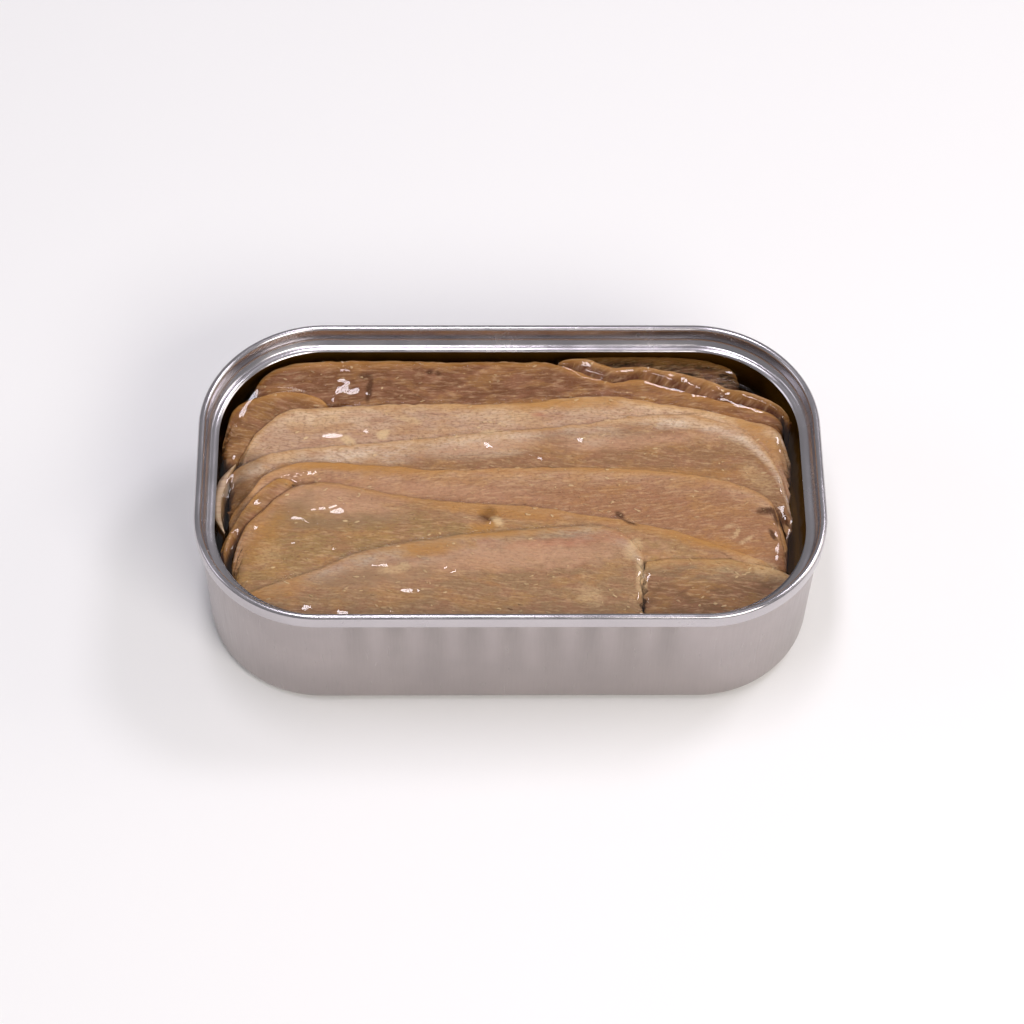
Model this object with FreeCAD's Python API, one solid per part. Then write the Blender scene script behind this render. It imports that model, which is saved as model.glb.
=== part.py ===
# Open tin of tuna fillets in oil, with its peel-off end removed. Sizes are in millimetres.
# The origin is the centre of the base, +X runs along the tin and +Z is up.
import FreeCAD, Part
import math
import os
from FreeCAD import Vector

# Overall sizes, taken over the double seam
tin_length = 105.0
tin_width = 60.0
tin_height = 28.0
corner_radius = 21.0

# Sheet and double seam: five layers of sheet lie side by side, each a clearance from the next
sheet = 0.21
seam_clearance = 0.05
seam_height = 2.9
hook_gap = 0.12              # between the end of a hook and the bend that faces it

# What is left of the peel-off end: chuck wall, countersink and a ring of its panel
countersink = 3.72           # from the top of the seam down to the ring
ring_reach = 3.26            # from the outside of the seam in to the torn edge
chuck_slope = 0.75           # how far the chuck wall leans in below the seam
chuck_bend = 0.55
torn_lip = 0.14              # the thinned strip that the score leaves along the torn edge

# Drawn body
wall_taper = 0.62            # how far each wall leans in from the seam to the base
base_radius = 2.0
standing_ring = 1.6          # width of the flat that the tin stands on
base_lift = 0.5              # how far the base panel is raised above that flat
base_bend = 0.6

# Shallow upright flutes in the two long walls
flute_pitch = 6.4
flute_radius = 10.0
flute_depth = 0.37           # at the top; the taper of the wall makes them die out below
flute_start = 0.45           # below the foot of the seam
flute_foot = 3.0             # above the base

# Contents
oil_drop = 3.2               # oil level below the ring
oil_clearance = 0.15         # oil to the metal round it
wall_clearance = 0.2         # fish to the nearest metal
fish_gap = 0.15              # film of oil between fillets
thin_end = 0.5               # least thickness of a fillet that runs out to a tip
crest_round = 0.9            # how far the rounding of a fillet's upper edge reaches down and forwards
crest_share = 0.3            # the most of a fillet's width that its rounded edge takes
belly = (0.55, 0.35)         # the bulge of its top: shares of the width and of the fall from crest to front
end_width = 0.72             # width of a fillet's blunt end, as a share of its full width
end_drop = 0.3               # how much of that narrowing its height takes as well
end_length = 0.06            # length of the rounded end, as a share of the inner half length
end_steps = (0, 0.006, 0.02, 0.045)
station_step = 0.04          # spacing of a fillet's other sections, as the same share
flap_drop = 2.1              # top of the thin flap below the ring
flap_depth = 6.5

# Worked out from the sizes above
layer_step = sheet + seam_clearance
layers = [-sheet / 2 - layer_step * n for n in range(5)]
cover_wall, body_hook, cover_hook, body_wall, chuck_wall = layers
seam_foot = tin_height - seam_height
ring_top = tin_height - countersink
inner_face = body_wall - sheet / 2
inner_length = tin_length / 2 + inner_face
inner_width = tin_width / 2 + inner_face
floor = base_lift + sheet + wall_clearance
oil_level = ring_top - oil_drop
flute_count = int((tin_length - 2 * corner_radius) / flute_pitch)


def plan(inset, height):
    """Rounded rectangle, parallel to the outside of the seam and moved in by inset."""
    half_x = tin_length / 2 - inset
    half_y = tin_width / 2 - inset
    radius = corner_radius - inset
    edges = []
    for turn, (sx, sy) in enumerate([(1, 1), (-1, 1), (-1, -1), (1, -1)]):
        centre = Vector(sx * (half_x - radius), sy * (half_y - radius), height)
        start, middle, end = [
            centre + Vector(radius * math.cos(a), radius * math.sin(a), 0)
            for a in (math.radians(90 * turn + step) for step in (0, 45, 90))
        ]
        if edges:
            edges.append(Part.makeLine(edges[-1].lastVertex().Point, start))
        else:
            first = start
        edges.append(Part.Arc(start, middle, end).toShape())
    edges.append(Part.makeLine(end, first))
    return Part.Wire(edges)


def bent_sheet(corners, bends, thickness):
    """Closed outline of a bent sheet. corners are the (u, z) corners of its mid line, u counted outwards from the
    outside of the seam; bends are the mid-line radii at all corners but the first and last."""
    points = [Vector(u, z, 0) for u, z in corners]
    runs = [(b - a).normalize() for a, b in zip(points, points[1:])]
    legs = []
    begin = points[0]
    for point, before, after, radius in zip(points[1:], runs, runs[1:], bends):
        reach = radius * math.tan(before.getAngle(after) / 2)
        legs.append((begin, point - before * reach, None, before, before))
        side = (after - before).normalize()
        centre = point + side * (radius / math.cos(before.getAngle(after) / 2))
        legs.append((point - before * reach, point + after * reach, centre - side * radius, before, after))
        begin = point + after * reach
    legs.append((begin, points[-1], None, runs[-1], runs[-1]))

    def shifted(point, direction, amount):
        place = point + Vector(-direction.y, direction.x, 0) * amount
        return Vector(tin_length / 2 + place.x, corner_radius - tin_width / 2, place.y)

    edges = []
    for amount in (thickness / 2, -thickness / 2):
        for start, end, middle, before, after in legs:
            if (end - start).Length < 1e-6:
                continue
            a = shifted(start, before, amount)
            b = shifted(end, after, amount)
            if middle is None:
                edges.append(Part.makeLine(a, b))
            else:
                m = shifted(middle, (before + after).normalize(), amount)
                edges.append(Part.Arc(a, m, b).toShape())
    for point, direction in ((points[0], runs[0]), (points[-1], runs[-1])):
        edges.append(Part.makeLine(shifted(point, direction, thickness / 2), shifted(point, direction, -thickness / 2)))
    return Part.Wire(Part.__sortEdges__(edges))


def swept(outline):
    """Solid made by taking a closed outline once round the tin."""
    path = plan(0, 0)
    ring = path.makePipeShell([outline], True, False)
    return ring if ring.Volume > 0 else ring.reversed()


def block(levels):
    """Solid through rounded rectangles, given as (inset, height) pairs from the bottom up."""
    return Part.makeLoft([plan(inset, height) for inset, height in levels], True, True)


def wall_inset(height):
    """Inset of the mid line of the body wall at a height below the seam."""
    return -body_wall + wall_taper * (seam_foot - height) / (seam_foot - sheet / 2)


def flutes(radius, chord, low, high):
    """Upright round-nosed bars along both long walls. Their noses have the given radius about the flutes' axes, and
    their flat backs lie chord outside the outer face of the wall."""
    axis = tin_width / 2 + body_wall + sheet / 2 - flute_depth + flute_radius
    back = tin_width / 2 + body_wall + sheet / 2 + chord
    half = min(math.sqrt(radius ** 2 - (axis - back) ** 2), 0.49 * flute_pitch)
    back = axis - math.sqrt(radius ** 2 - half ** 2)
    bars = []
    for side in (1, -1):
        for n in range(flute_count):
            x = (n - (flute_count - 1) / 2) * flute_pitch
            left = Vector(x - half, side * back, low)
            right = Vector(x + half, side * back, low)
            nose = Part.Arc(left, Vector(x, side * (axis - radius), low), right).toShape()
            bars.append(Part.Face(Part.Wire([nose, Part.makeLine(right, left)])).extrude(Vector(0, 0, high - low)))
    return bars


def along(points, x):
    """Smooth curve through points (x, value, ...): the values at x."""
    n = next((i for i in range(1, len(points) - 1) if x < points[i][0]), len(points) - 1)
    p, q = points[n - 1], points[n]
    before = points[max(n - 2, 0)]
    after = points[min(n + 1, len(points) - 1)]
    t = min(max((x - p[0]) / (q[0] - p[0]), 0), 1)
    values = []
    for k in range(1, len(p)):
        m0 = (q[k] - before[k]) / (q[0] - before[0]) * (q[0] - p[0])
        m1 = (after[k] - p[k]) / (after[0] - p[0]) * (q[0] - p[0])
        values.append(
            (2 * t ** 3 - 3 * t ** 2 + 1) * p[k]
            + (t ** 3 - 2 * t ** 2 + t) * m0
            + (3 * t ** 2 - 2 * t ** 3) * q[k]
            + (t ** 3 - t ** 2) * m1
        )
    return values


def fillet(crest, lean, front, front_lean, fall):
    """Slab of fish that lies lengthwise and leans back. crest holds its upper back edge, and front the upper back edge
    of what lies in front of it, as (x, y, drop): x and y are shares of the tin's inner half length and half width, and
    drop is the depth below the ring. The leans are those of the two edges' back faces, and fall is how far the slab's
    top drops from its crest to its front."""
    left, right = crest[0][0], crest[-1][0]
    steps = [n * station_step for n in range(-int(1 / station_step), int(1 / station_step) + 1)]
    stations = [left + step for step in end_steps]
    stations += [x for x in steps if left + end_length < x < right - end_length]
    stations += [right - step for step in reversed(end_steps)]
    outlines = []
    for x in stations:
        y_back, drop_back = along(crest, x)
        y_front, drop_front = along(front, x)
        end = min(x - left, right - x, end_length) / end_length
        size = end_width + (1 - end_width) * math.sqrt(1 - (1 - end) ** 2)
        crest_top = ring_top - drop_back
        top = floor + (crest_top - floor) * (1 - end_drop * (1 - size))
        foot = top - fall
        back_y = y_back * inner_width - lean * (crest_top - top)
        front_y = y_front * inner_width + fish_gap - front_lean * (ring_top - drop_front - foot)
        inward = max(back_y - front_y, thin_end) * (1 - size) / 2
        back_y = back_y - inward
        front_y = min(front_y + inward, back_y - thin_end)
        width = back_y - front_y
        shoulder = min(crest_round, crest_share * width)
        front_foot = front_y - front_lean * (foot - floor)
        back_foot = max(back_y - lean * (top - floor), front_foot + thin_end)
        waist = back_foot + (back_y - back_foot) * (top - crest_round - floor) / (top - floor)
        heel, neck, crest_edge, edge, middle, lip, toe = [
            Vector(x * inner_length, y, z)
            for y, z in (
                (back_foot, floor),
                (waist, top - crest_round),
                (back_y, top),
                (back_y - shoulder, top),
                (back_y - belly[0] * width, top - belly[1] * fall),
                (front_y, foot),
                (front_foot, floor),
            )
        ]
        skin = Part.BSplineCurve()
        skin.buildFromPoles([neck, crest_edge, edge, middle, lip])
        sides = [Part.makeLine(a, b) for a, b in ((lip, toe), (toe, heel))]
        outlines.append(Part.Wire([Part.makeLine(heel, neck), skin.toShape()] + sides))
    return Part.makeLoft(outlines, True, False)


def flap(outer, inner):
    """Thin piece standing on edge, between two arcs in plan, each given by three (x, y) shares."""
    arcs = [
        Part.Arc(*[Vector(x * inner_length, y * inner_width, ring_top - flap_drop - flap_depth) for x, y in points]).toShape()
        for points in (outer, inner)
    ]
    return Part.Face(Part.Wire(arcs)).extrude(Vector(0, 0, flap_depth))


def save(shape, node):
    solids = shape.Solids
    whole = max(solids, key=lambda s: s.Volume)
    whole.exportStep(os.path.join("parts", node + ".step"))
    return whole


os.makedirs("parts", exist_ok=True)

# The peel-off end's outer ring: torn edge, ring, chuck wall, seaming panel, seam wall and cover hook
arch = (cover_wall - chuck_wall) / 2
curl = (cover_wall - cover_hook) / 2
ring_mid = ring_top - sheet / 2
cover = bent_sheet(
    [
        (-ring_reach, ring_mid),
        (chuck_wall - chuck_slope, ring_mid),
        (chuck_wall, seam_foot + hook_gap),
        (chuck_wall, tin_height - sheet / 2),
        (cover_wall, tin_height - sheet / 2),
        (cover_wall, seam_foot + sheet / 2),
        (cover_hook, seam_foot + sheet / 2),
        (cover_hook, tin_height - sheet - layer_step - hook_gap),
    ],
    [chuck_bend, 1.2, arch, arch, curl, curl],
    sheet,
)
seam_ring = swept(cover)
lip = block([(ring_reach - torn_lip, ring_top - sheet / 2), (ring_reach - torn_lip, ring_top + sheet)])
seam_ring = save(seam_ring.cut(lip), "seam_ring")

# The drawn body: body hook, wall, base corner, standing ring and raised base panel
fold = (body_hook - body_wall) / 2
arch_top = tin_height - sheet / 2 - layer_step
base_wall = body_wall - wall_taper
ring_in = base_wall - base_radius - standing_ring
panel_edge = ring_in - 2 * base_bend
body = bent_sheet(
    [
        (body_hook, seam_foot + sheet + hook_gap),
        (body_hook, arch_top),
        (body_wall, arch_top),
        (body_wall, seam_foot),
        (base_wall, sheet / 2),
        (ring_in, sheet / 2),
        (ring_in - base_bend, base_lift + sheet / 2),
        (panel_edge - base_bend, base_lift + sheet / 2),
    ],
    [fold, fold, 6.0, base_radius, base_bend, base_bend],
    sheet,
)
tin_body = swept(body)
panel_inset = base_bend - panel_edge
panel = Part.Face(plan(panel_inset, base_lift)).extrude(Vector(0, 0, sheet))
tin_body = tin_body.fuse(panel)

flute_low = flute_foot
flute_high = seam_foot - flute_start
inside_skin = block([(wall_inset(z) - sheet / 2, z) for z in (flute_low, flute_high)])
ribs = Part.makeCompound(flutes(flute_radius + sheet, -sheet / 2, flute_low, flute_high)).common(inside_skin)
grooves = Part.makeCompound(flutes(flute_radius, 0.1, flute_low - 1, flute_high))
tin_body = save(tin_body.fuse(ribs).cut(grooves), "tin_body")

# The fillets, each with the crest of what lies in front of it
front_wall = [(-1, -1.1, 0), (1, -1.1, 0)]
front_crest = [
    (-0.90, -0.79, 2.2), (-0.79, -0.69, 1.7), (-0.62, -0.583, 1.3), (-0.49, -0.472, 1.1), (-0.23, -0.37, 1.0),
    (0.015, -0.314, 1.0), (0.25, -0.285, 1.0), (0.32, -0.30, 1.0), (0.38, -0.37, 1.1), (0.425, -0.47, 1.3),
]
front_right_crest = [
    (0.435, -0.507, 2.2), (0.58, -0.493, 2.0), (0.72, -0.507, 2.0), (0.85, -0.562, 2.1), (0.91, -0.61, 2.4),
]
fifth_crest = [
    (-0.90, -0.45, 2.4), (-0.865, -0.286, 2.1), (-0.81, -0.176, 1.9), (-0.735, -0.041, 1.7), (-0.66, 0.02, 1.6),
    (-0.575, 0.02, 1.6), (-0.36, -0.062, 1.6), (-0.21, -0.107, 1.6), (0.015, -0.138, 1.6), (0.305, -0.217, 1.6),
    (0.52, -0.303, 1.7), (0.65, -0.393, 1.9), (0.785, -0.49, 2.0), (0.87, -0.56, 2.3),
]
flake_crest = [
    (-0.94, -0.39, 2.6), (-0.92, -0.33, 2.2), (-0.84, -0.08, 1.9), (-0.765, 0.05, 1.8), (-0.70, 0.055, 1.9),
]
flake_front = [(-0.94, -0.43, 2.2), (-0.865, -0.262, 2.1), (-0.81, -0.155, 1.9), (-0.735, -0.025, 1.7), (-0.66, 0.03, 1.6)]
fourth_crest = [
    (-0.893, -0.155, 2.4), (-0.85, -0.04, 2.1), (-0.80, 0.08, 1.8), (-0.70, 0.16, 1.6), (-0.63, 0.172, 1.6),
    (-0.36, 0.138, 1.9), (-0.23, 0.12, 2.0), (0.12, 0.141, 2.0), (0.39, 0.128, 2.0), (0.56, 0.10, 2.0),
    (0.73, 0.028, 2.0), (0.86, -0.107, 2.2), (0.90, -0.345, 2.8),
]
third_crest = [
    (-0.90, 0.175, 2.5), (-0.765, 0.25, 2.2), (-0.50, 0.307, 2.1), (-0.09, 0.386, 2.0), (0.26, 0.455, 2.0),
    (0.40, 0.503, 2.0), (0.585, 0.524, 2.0), (0.675, 0.486, 2.0), (0.765, 0.42, 2.0), (0.83, 0.307, 2.1),
    (0.89, 0.114, 2.3), (0.92, -0.05, 2.8),
]
second_crest = [
    (-0.895, 0.23, 2.8), (-0.845, 0.38, 2.5), (-0.75, 0.54, 2.3), (-0.64, 0.57, 2.2), (-0.37, 0.597, 2.1),
    (0.02, 0.603, 2.1), (0.29, 0.655, 2.0), (0.54, 0.59, 2.2), (0.815, 0.47, 2.3), (0.90, 0.40, 2.5),
    (0.93, 0.30, 3.0),
]
corner_crest = [
    (-0.955, 0.41, 2.6), (-0.92, 0.56, 2.3), (-0.825, 0.65, 2.1), (-0.74, 0.69, 2.1), (-0.66, 0.67, 2.2),
    (-0.60, 0.62, 2.5),
]
back_crest = [
    (-0.855, 0.77, 2.9), (-0.80, 0.84, 2.5), (-0.74, 0.885, 2.2), (-0.60, 0.905, 1.8), (-0.19, 0.905, 2.1),
    (0.155, 0.893, 2.2), (0.33, 0.77, 2.6), (0.45, 0.79, 2.7), (0.57, 0.71, 2.7), (0.82, 0.585, 2.9),
    (0.91, 0.52, 3.3),
]
back_right_crest = [
    (0.15, 0.91, 1.8), (0.26, 0.90, 1.1), (0.35, 0.855, 1.7), (0.44, 0.845, 1.2), (0.575, 0.79, 1.0),
    (0.68, 0.74, 1.2), (0.735, 0.70, 1.7), (0.80, 0.655, 1.1), (0.90, 0.57, 1.4), (0.945, 0.51, 2.2),
]
sunk_crest = [(0.22, 0.99, 3.8), (0.45, 0.98, 3.5), (0.66, 0.96, 3.8), (0.78, 0.90, 4.4)]

fish = {
    "fillet_front": fillet(front_crest, 0.42, front_wall, 0, 1.6),
    "fillet_front_right": fillet(front_right_crest, 0.42, front_wall, 0, 1.3),
    "fillet_fifth": fillet(fifth_crest, 0.4, front_crest + front_right_crest, 0.42, 1.7),
    "flake_left": fillet(flake_crest, 0.4, flake_front, 0.4, 1.0),
    "fillet_fourth": fillet(fourth_crest, 0.4, flake_crest + fifth_crest[5:], 0.4, 1.7),
    "fillet_third": fillet(third_crest, 0.35, fourth_crest, 0.4, 1.7),
    "fillet_second": fillet(second_crest, 0.2, third_crest, 0.35, 1.6),
    "fillet_corner_left": fillet(corner_crest, 0.2, [(-0.955, 0.19, 2.8)] + second_crest, 0.2, 1.4),
    "fillet_back": fillet(back_crest, 0.1, corner_crest[2:] + second_crest[4:], 0.2, 1.6),
    "fillet_back_right": fillet(back_right_crest, 0.05, back_crest, 0.1, 1.4),
    "fillet_sunk": fillet(sunk_crest, 0.0, back_right_crest, 0.05, 0.6),
    "flap_left": flap([(-0.91, 0.10), (-0.97, -0.08), (-0.93, -0.30)], [(-0.93, -0.30), (-0.925, -0.08), (-0.91, 0.10)]),
}
wall_room = sheet / 2 + flute_depth + wall_clearance
room = block(
    [
        (wall_inset(floor) + wall_room + base_radius, floor - wall_clearance / 2),
        (wall_inset(floor) + wall_room, floor + base_radius),
        (wall_inset(ring_top) + wall_room, ring_top),
    ]
)
laid = [save(raw.common(room), node) for node, raw in fish.items()]

# The oil fills the tin round the fillets, up to its level
skin_room = sheet / 2 + oil_clearance
oil_foot = base_lift + sheet + oil_clearance
oil = block(
    [
        (wall_inset(base_lift) + skin_room + base_radius, oil_foot),
        (wall_inset(base_lift) + skin_room, oil_foot + base_radius),
        (wall_inset(oil_level) + skin_room, oil_level),
    ]
)
ribs = flutes(flute_radius + sheet + oil_clearance, 0.1, flute_low - oil_clearance, oil_level + oil_clearance)
save(oil.cut(Part.makeCompound(ribs)).cut(laid), "oil")
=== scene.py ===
"""An open tin of tuna fillets in oil: the aluminium tin with its double seam and the torn ring of its peel-off end,
the fillets packed lengthwise, and the oil that films over them. Metres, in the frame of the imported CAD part."""
import math

import bmesh
import bpy
import numpy as np
from mathutils import Matrix, Vector


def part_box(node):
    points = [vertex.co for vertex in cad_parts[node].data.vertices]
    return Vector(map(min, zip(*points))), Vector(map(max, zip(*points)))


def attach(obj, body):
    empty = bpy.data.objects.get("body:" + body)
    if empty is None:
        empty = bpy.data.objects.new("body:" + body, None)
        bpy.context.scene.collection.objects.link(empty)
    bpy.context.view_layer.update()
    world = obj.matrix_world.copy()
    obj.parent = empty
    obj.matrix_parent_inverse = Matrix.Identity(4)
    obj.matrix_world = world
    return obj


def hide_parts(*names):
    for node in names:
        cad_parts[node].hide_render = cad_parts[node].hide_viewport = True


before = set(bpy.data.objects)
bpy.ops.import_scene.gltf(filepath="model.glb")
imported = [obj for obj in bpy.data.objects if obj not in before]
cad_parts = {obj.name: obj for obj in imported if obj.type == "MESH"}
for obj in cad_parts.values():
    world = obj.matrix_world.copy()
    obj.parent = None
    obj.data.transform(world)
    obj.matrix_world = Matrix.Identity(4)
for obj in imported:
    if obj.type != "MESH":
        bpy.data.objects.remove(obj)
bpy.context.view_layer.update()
mm = 0.001

# ---------------------------------------------------------------------------------------------------------------
# Studio. A plain pale floor, a broad soft lamp over the viewer's shoulder and two weaker ones at the sides. A
# narrow strip overhead and a small panel at the right draw the thin bright lines on rolled metal and on the oil.
# ---------------------------------------------------------------------------------------------------------------
view_centre = Vector((0.55, 2.99, 10.0)) * mm
view_distance = 550.61 * mm
view_height = math.radians(55.95)
view_side = math.radians(-1.86)
view_roll = math.radians(1.49)
back = Vector((
    math.sin(view_side) * math.cos(view_height),
    -math.cos(view_side) * math.cos(view_height),
    math.sin(view_height),
))
level_x = Vector((0, 0, 1)).cross(back).normalized()
level_y = back.cross(level_x)
side_x = level_x * math.cos(view_roll) + level_y * math.sin(view_roll)
side_y = level_y * math.cos(view_roll) - level_x * math.sin(view_roll)
camera = bpy.data.objects.new("camera", bpy.data.cameras.new("camera"))
camera.data.sensor_width = 36
camera.data.lens = 112.34
camera.data.clip_start = 0.01
camera_turn = Matrix((side_x, side_y, back)).transposed().to_4x4()
camera.matrix_world = Matrix.Translation(view_centre + back * view_distance) @ camera_turn
bpy.context.collection.objects.link(camera)
bpy.context.scene.camera = camera
bpy.context.scene.view_settings.view_transform = "Standard"


def linear(code):
    """Linear colour from an sRGB hex code."""
    parts = [int(code[n:n + 2], 16) / 255 for n in (0, 2, 4)]
    return [c / 12.92 if c <= 0.04045 else ((c + 0.055) / 1.055) ** 2.4 for c in parts] + [1.0]


def add(tree, kind, settings=None, **inputs):
    """One node with its settings, and its inputs as values or as links from other nodes' sockets. An input is named
    by its label with spaces as underscores, or by i and its number."""
    node = tree.nodes.new(kind)
    for name, value in (settings or {}).items():
        setattr(node, name, value)
    for name, value in inputs.items():
        numbered = name[0] == "i" and name[1:].isdigit()
        socket = node.inputs[int(name[1:]) if numbered else name.replace("_", " ")]
        if isinstance(value, bpy.types.NodeSocket):
            tree.links.new(value, socket)
        else:
            socket.default_value = value
    return node


def lamp(name, place, size, power, colour, aim=(0, 0, 15)):
    """Soft box: a rectangular area lamp, its place and size in millimetres, turned to face the tin."""
    light = bpy.data.objects.new(name, bpy.data.lights.new(name, "AREA"))
    light.data.shape = "RECTANGLE"
    light.data.size, light.data.size_y = size[0] * mm, size[1] * mm
    light.data.energy = power
    light.data.color = linear(colour)[:3]
    light.location = Vector(place) * mm
    light.rotation_euler = ((Vector(aim) - Vector(place)) * mm).to_track_quat("-Z", "Y").to_euler()
    bpy.context.collection.objects.link(light)


lamp("front_box", (330, -560, 560), (420, 320), 3.3, "fffaf4")
lamp("right_box", (800, 120, 460), (420, 420), 1.3, "fff8f0")
lamp("left_box", (-800, 40, 520), (360, 360), 0.7, "f6f4ff")
lamp("strip", (-60, 5, 640), (330, 80), 1.3, "f8f4ff")
lamp("side_panel", (330, 225, 592), (150, 150), 1.0, "f8f4ff")

world = bpy.data.worlds.new("studio")
bpy.context.scene.world = world
world.use_nodes = True
sky = world.node_tree.nodes["Background"]
sky.inputs["Color"].default_value = linear("c8c8cc")
sky.inputs["Strength"].default_value = 0.5

floor_half = 3.0
floor_mesh = bpy.data.meshes.new("floor")
floor_corners = [(x * floor_half, y * floor_half, 0) for x, y in ((-1, -1), (1, -1), (1, 1), (-1, 1))]
floor_mesh.from_pydata(floor_corners, [], [(0, 1, 2, 3)])
floor = bpy.data.objects.new("floor", floor_mesh)
bpy.context.collection.objects.link(floor)
paper = bpy.data.materials.new("matt_white_paper")
paper.use_nodes = True
shader = paper.node_tree.nodes["Principled BSDF"]
shader.inputs["Base Color"].default_value = linear("f4f3f1")
shader.inputs["Roughness"].default_value = 0.9
floor_mesh.materials.append(paper)

# ---------------------------------------------------------------------------------------------------------------
# Tin body. A cup drawn from one aluminium sheet, its wall leaning in a little to a rolled base corner, a standing
# ring and a raised base panel. Shallow upright flutes stiffen the two long walls from the seam down. Its flange is
# folded inside the seam as the body hook.
# ---------------------------------------------------------------------------------------------------------------
tin_length, tin_width, tin_height = 105.0, 60.0, 28.0
corner_radius = 21.0
sheet, seam_gap = 0.21, 0.05
seam_height, countersink = 2.9, 3.72
layer_step = sheet + seam_gap
seam_foot = tin_height - seam_height
ring_top = tin_height - countersink
cover_wall, body_hook, cover_hook, body_wall, chuck_wall = [-sheet / 2 - layer_step * n for n in range(5)]
wall_taper = 0.62
base_radius, base_lift, base_bend, standing_width = 2.0, 0.5, 0.6, 1.6
base_wall = body_wall - wall_taper
ring_in = base_wall - base_radius - standing_width
flute_pitch, flute_count, flute_radius, flute_depth = 6.4, 9, 10.0, 0.37
flute_top, flute_foot = seam_foot - 0.45, 3.0


def bent_sheet(corners, bends, turn_step=9):
    """Closed outline of a bent sheet, from the corners of its mid line, (u, z) in millimetres with u outwards, and
    the radii at all corners but the first and last."""
    points = [np.array(c, float) for c in corners]
    centre_line = [(points[0], points[1] - points[0])]
    for before, point, after, radius in zip(points, points[1:], points[2:], bends):
        a = (point - before) / np.linalg.norm(point - before)
        b = (after - point) / np.linalg.norm(after - point)
        turn = math.atan2(a[0] * b[1] - a[1] * b[0], a @ b)
        reach = radius * math.tan(abs(turn) / 2)
        steps = max(2, math.ceil(abs(math.degrees(turn)) / turn_step))
        place, heading = point - a * reach, math.atan2(a[1], a[0])
        pivot = place + radius * math.copysign(1, turn) * np.array([-math.sin(heading), math.cos(heading)])
        for n in range(steps + 1):
            angle = heading + turn * n / steps
            side = math.copysign(1, turn) * np.array([math.sin(angle), -math.cos(angle)])
            centre_line.append((pivot + radius * side, np.array([math.cos(angle), math.sin(angle)])))
    centre_line.append((points[-1], points[-1] - points[-2]))
    outline = []
    for amount in (sheet / 2, -sheet / 2):
        row = []
        for place, heading in centre_line:
            heading = heading / np.linalg.norm(heading)
            row.append(place + amount * np.array([-heading[1], heading[0]]))
        outline += row if amount > 0 else row[::-1]
    return outline


def outward(mesh, extra=()):
    """Adds other meshes to a closed mesh and turns every face outwards."""
    work = bmesh.new()
    for part in (mesh, *extra):
        work.from_mesh(part)
    bmesh.ops.recalc_face_normals(work, faces=work.faces)
    work.to_mesh(mesh)
    work.free()


def flutes(tree, swept, given):
    """Nodes that push the long walls in along a row of arcs, which fade out under the seam and above the base."""
    place = add(tree, "ShaderNodeSeparateXYZ", Vector=add(tree, "GeometryNodeInputPosition").outputs[0]).outputs
    values = {socket.name: socket for socket in given}
    values.update(x=place[0], y=place[1], z=place[2])
    for name, start, end, first, last in (
        ("below seam", flute_top - 0.1, flute_top + 0.5, 1.0, 0.0),
        ("above base", flute_foot, flute_foot + 1.0, 0.0, 1.0),
    ):
        values[name] = add(tree, "ShaderNodeMapRange", {"interpolation_type": "SMOOTHSTEP"}, i0=place[2],
                           i1=start * mm, i2=end * mm, i3=first, i4=last).outputs[0]
    seam_wall = (tin_width / 2 + body_wall) * mm
    for name, operation, a, b in (
        ("row", "MULTIPLY", "Flute pitch", "Flute count"),
        ("half row", "MULTIPLY", "row", 0.5),
        ("from middle", "ABSOLUTE", "x", 0.0),
        ("in row", "LESS_THAN", "from middle", "half row"),
        ("from end", "ADD", "x", "half row"),
        ("in flute", "FLOORED_MODULO", "from end", "Flute pitch"),
        ("half pitch", "MULTIPLY", "Flute pitch", 0.5),
        ("across", "SUBTRACT", "in flute", "half pitch"),
        ("radius squared", "POWER", "Flute radius", 2.0),
        ("across squared", "POWER", "across", 2.0),
        ("rise squared", "SUBTRACT", "radius squared", "across squared"),
        ("rise", "SQRT", "rise squared", 0.0),
        ("sag", "SUBTRACT", "Flute radius", "rise"),
        ("deepest", "SUBTRACT", seam_wall, "Flute depth"),
        ("flute y", "ADD", "deepest", "sag"),
        ("down", "SUBTRACT", seam_foot * mm, "z"),
        ("lean", "MULTIPLY", "down", wall_taper / (seam_foot - sheet / 2)),
        ("wall y", "SUBTRACT", seam_wall, "lean"),
        ("past flute", "SUBTRACT", "wall y", "flute y"),
        ("push", "MAXIMUM", "past flute", 0.0),
        ("side", "ABSOLUTE", "y", 0.0),
        ("off wall", "SUBTRACT", "side", "wall y"),
        ("gap", "ABSOLUTE", "off wall", 0.0),
        ("at wall", "LESS_THAN", "gap", 0.2 * mm),
        ("push in row", "MULTIPLY", "push", "in row"),
        ("faded", "MULTIPLY", "below seam", "above base"),
        ("faded wall", "MULTIPLY", "faded", "at wall"),
        ("depth", "MULTIPLY", "push in row", "faded wall"),
        ("inwards", "MULTIPLY", "depth", -1.0),
        ("way", "SIGN", "y", 0.0),
        ("shift", "MULTIPLY", "inwards", "way"),
    ):
        values[name] = add(tree, "ShaderNodeMath", {"operation": operation}, i0=values.get(a, a),
                           i1=values.get(b, b)).outputs[0]
    shift = add(tree, "ShaderNodeCombineXYZ", Y=values["shift"]).outputs[0]
    return add(tree, "GeometryNodeSetPosition", Geometry=swept, Offset=shift).outputs[0]


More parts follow.
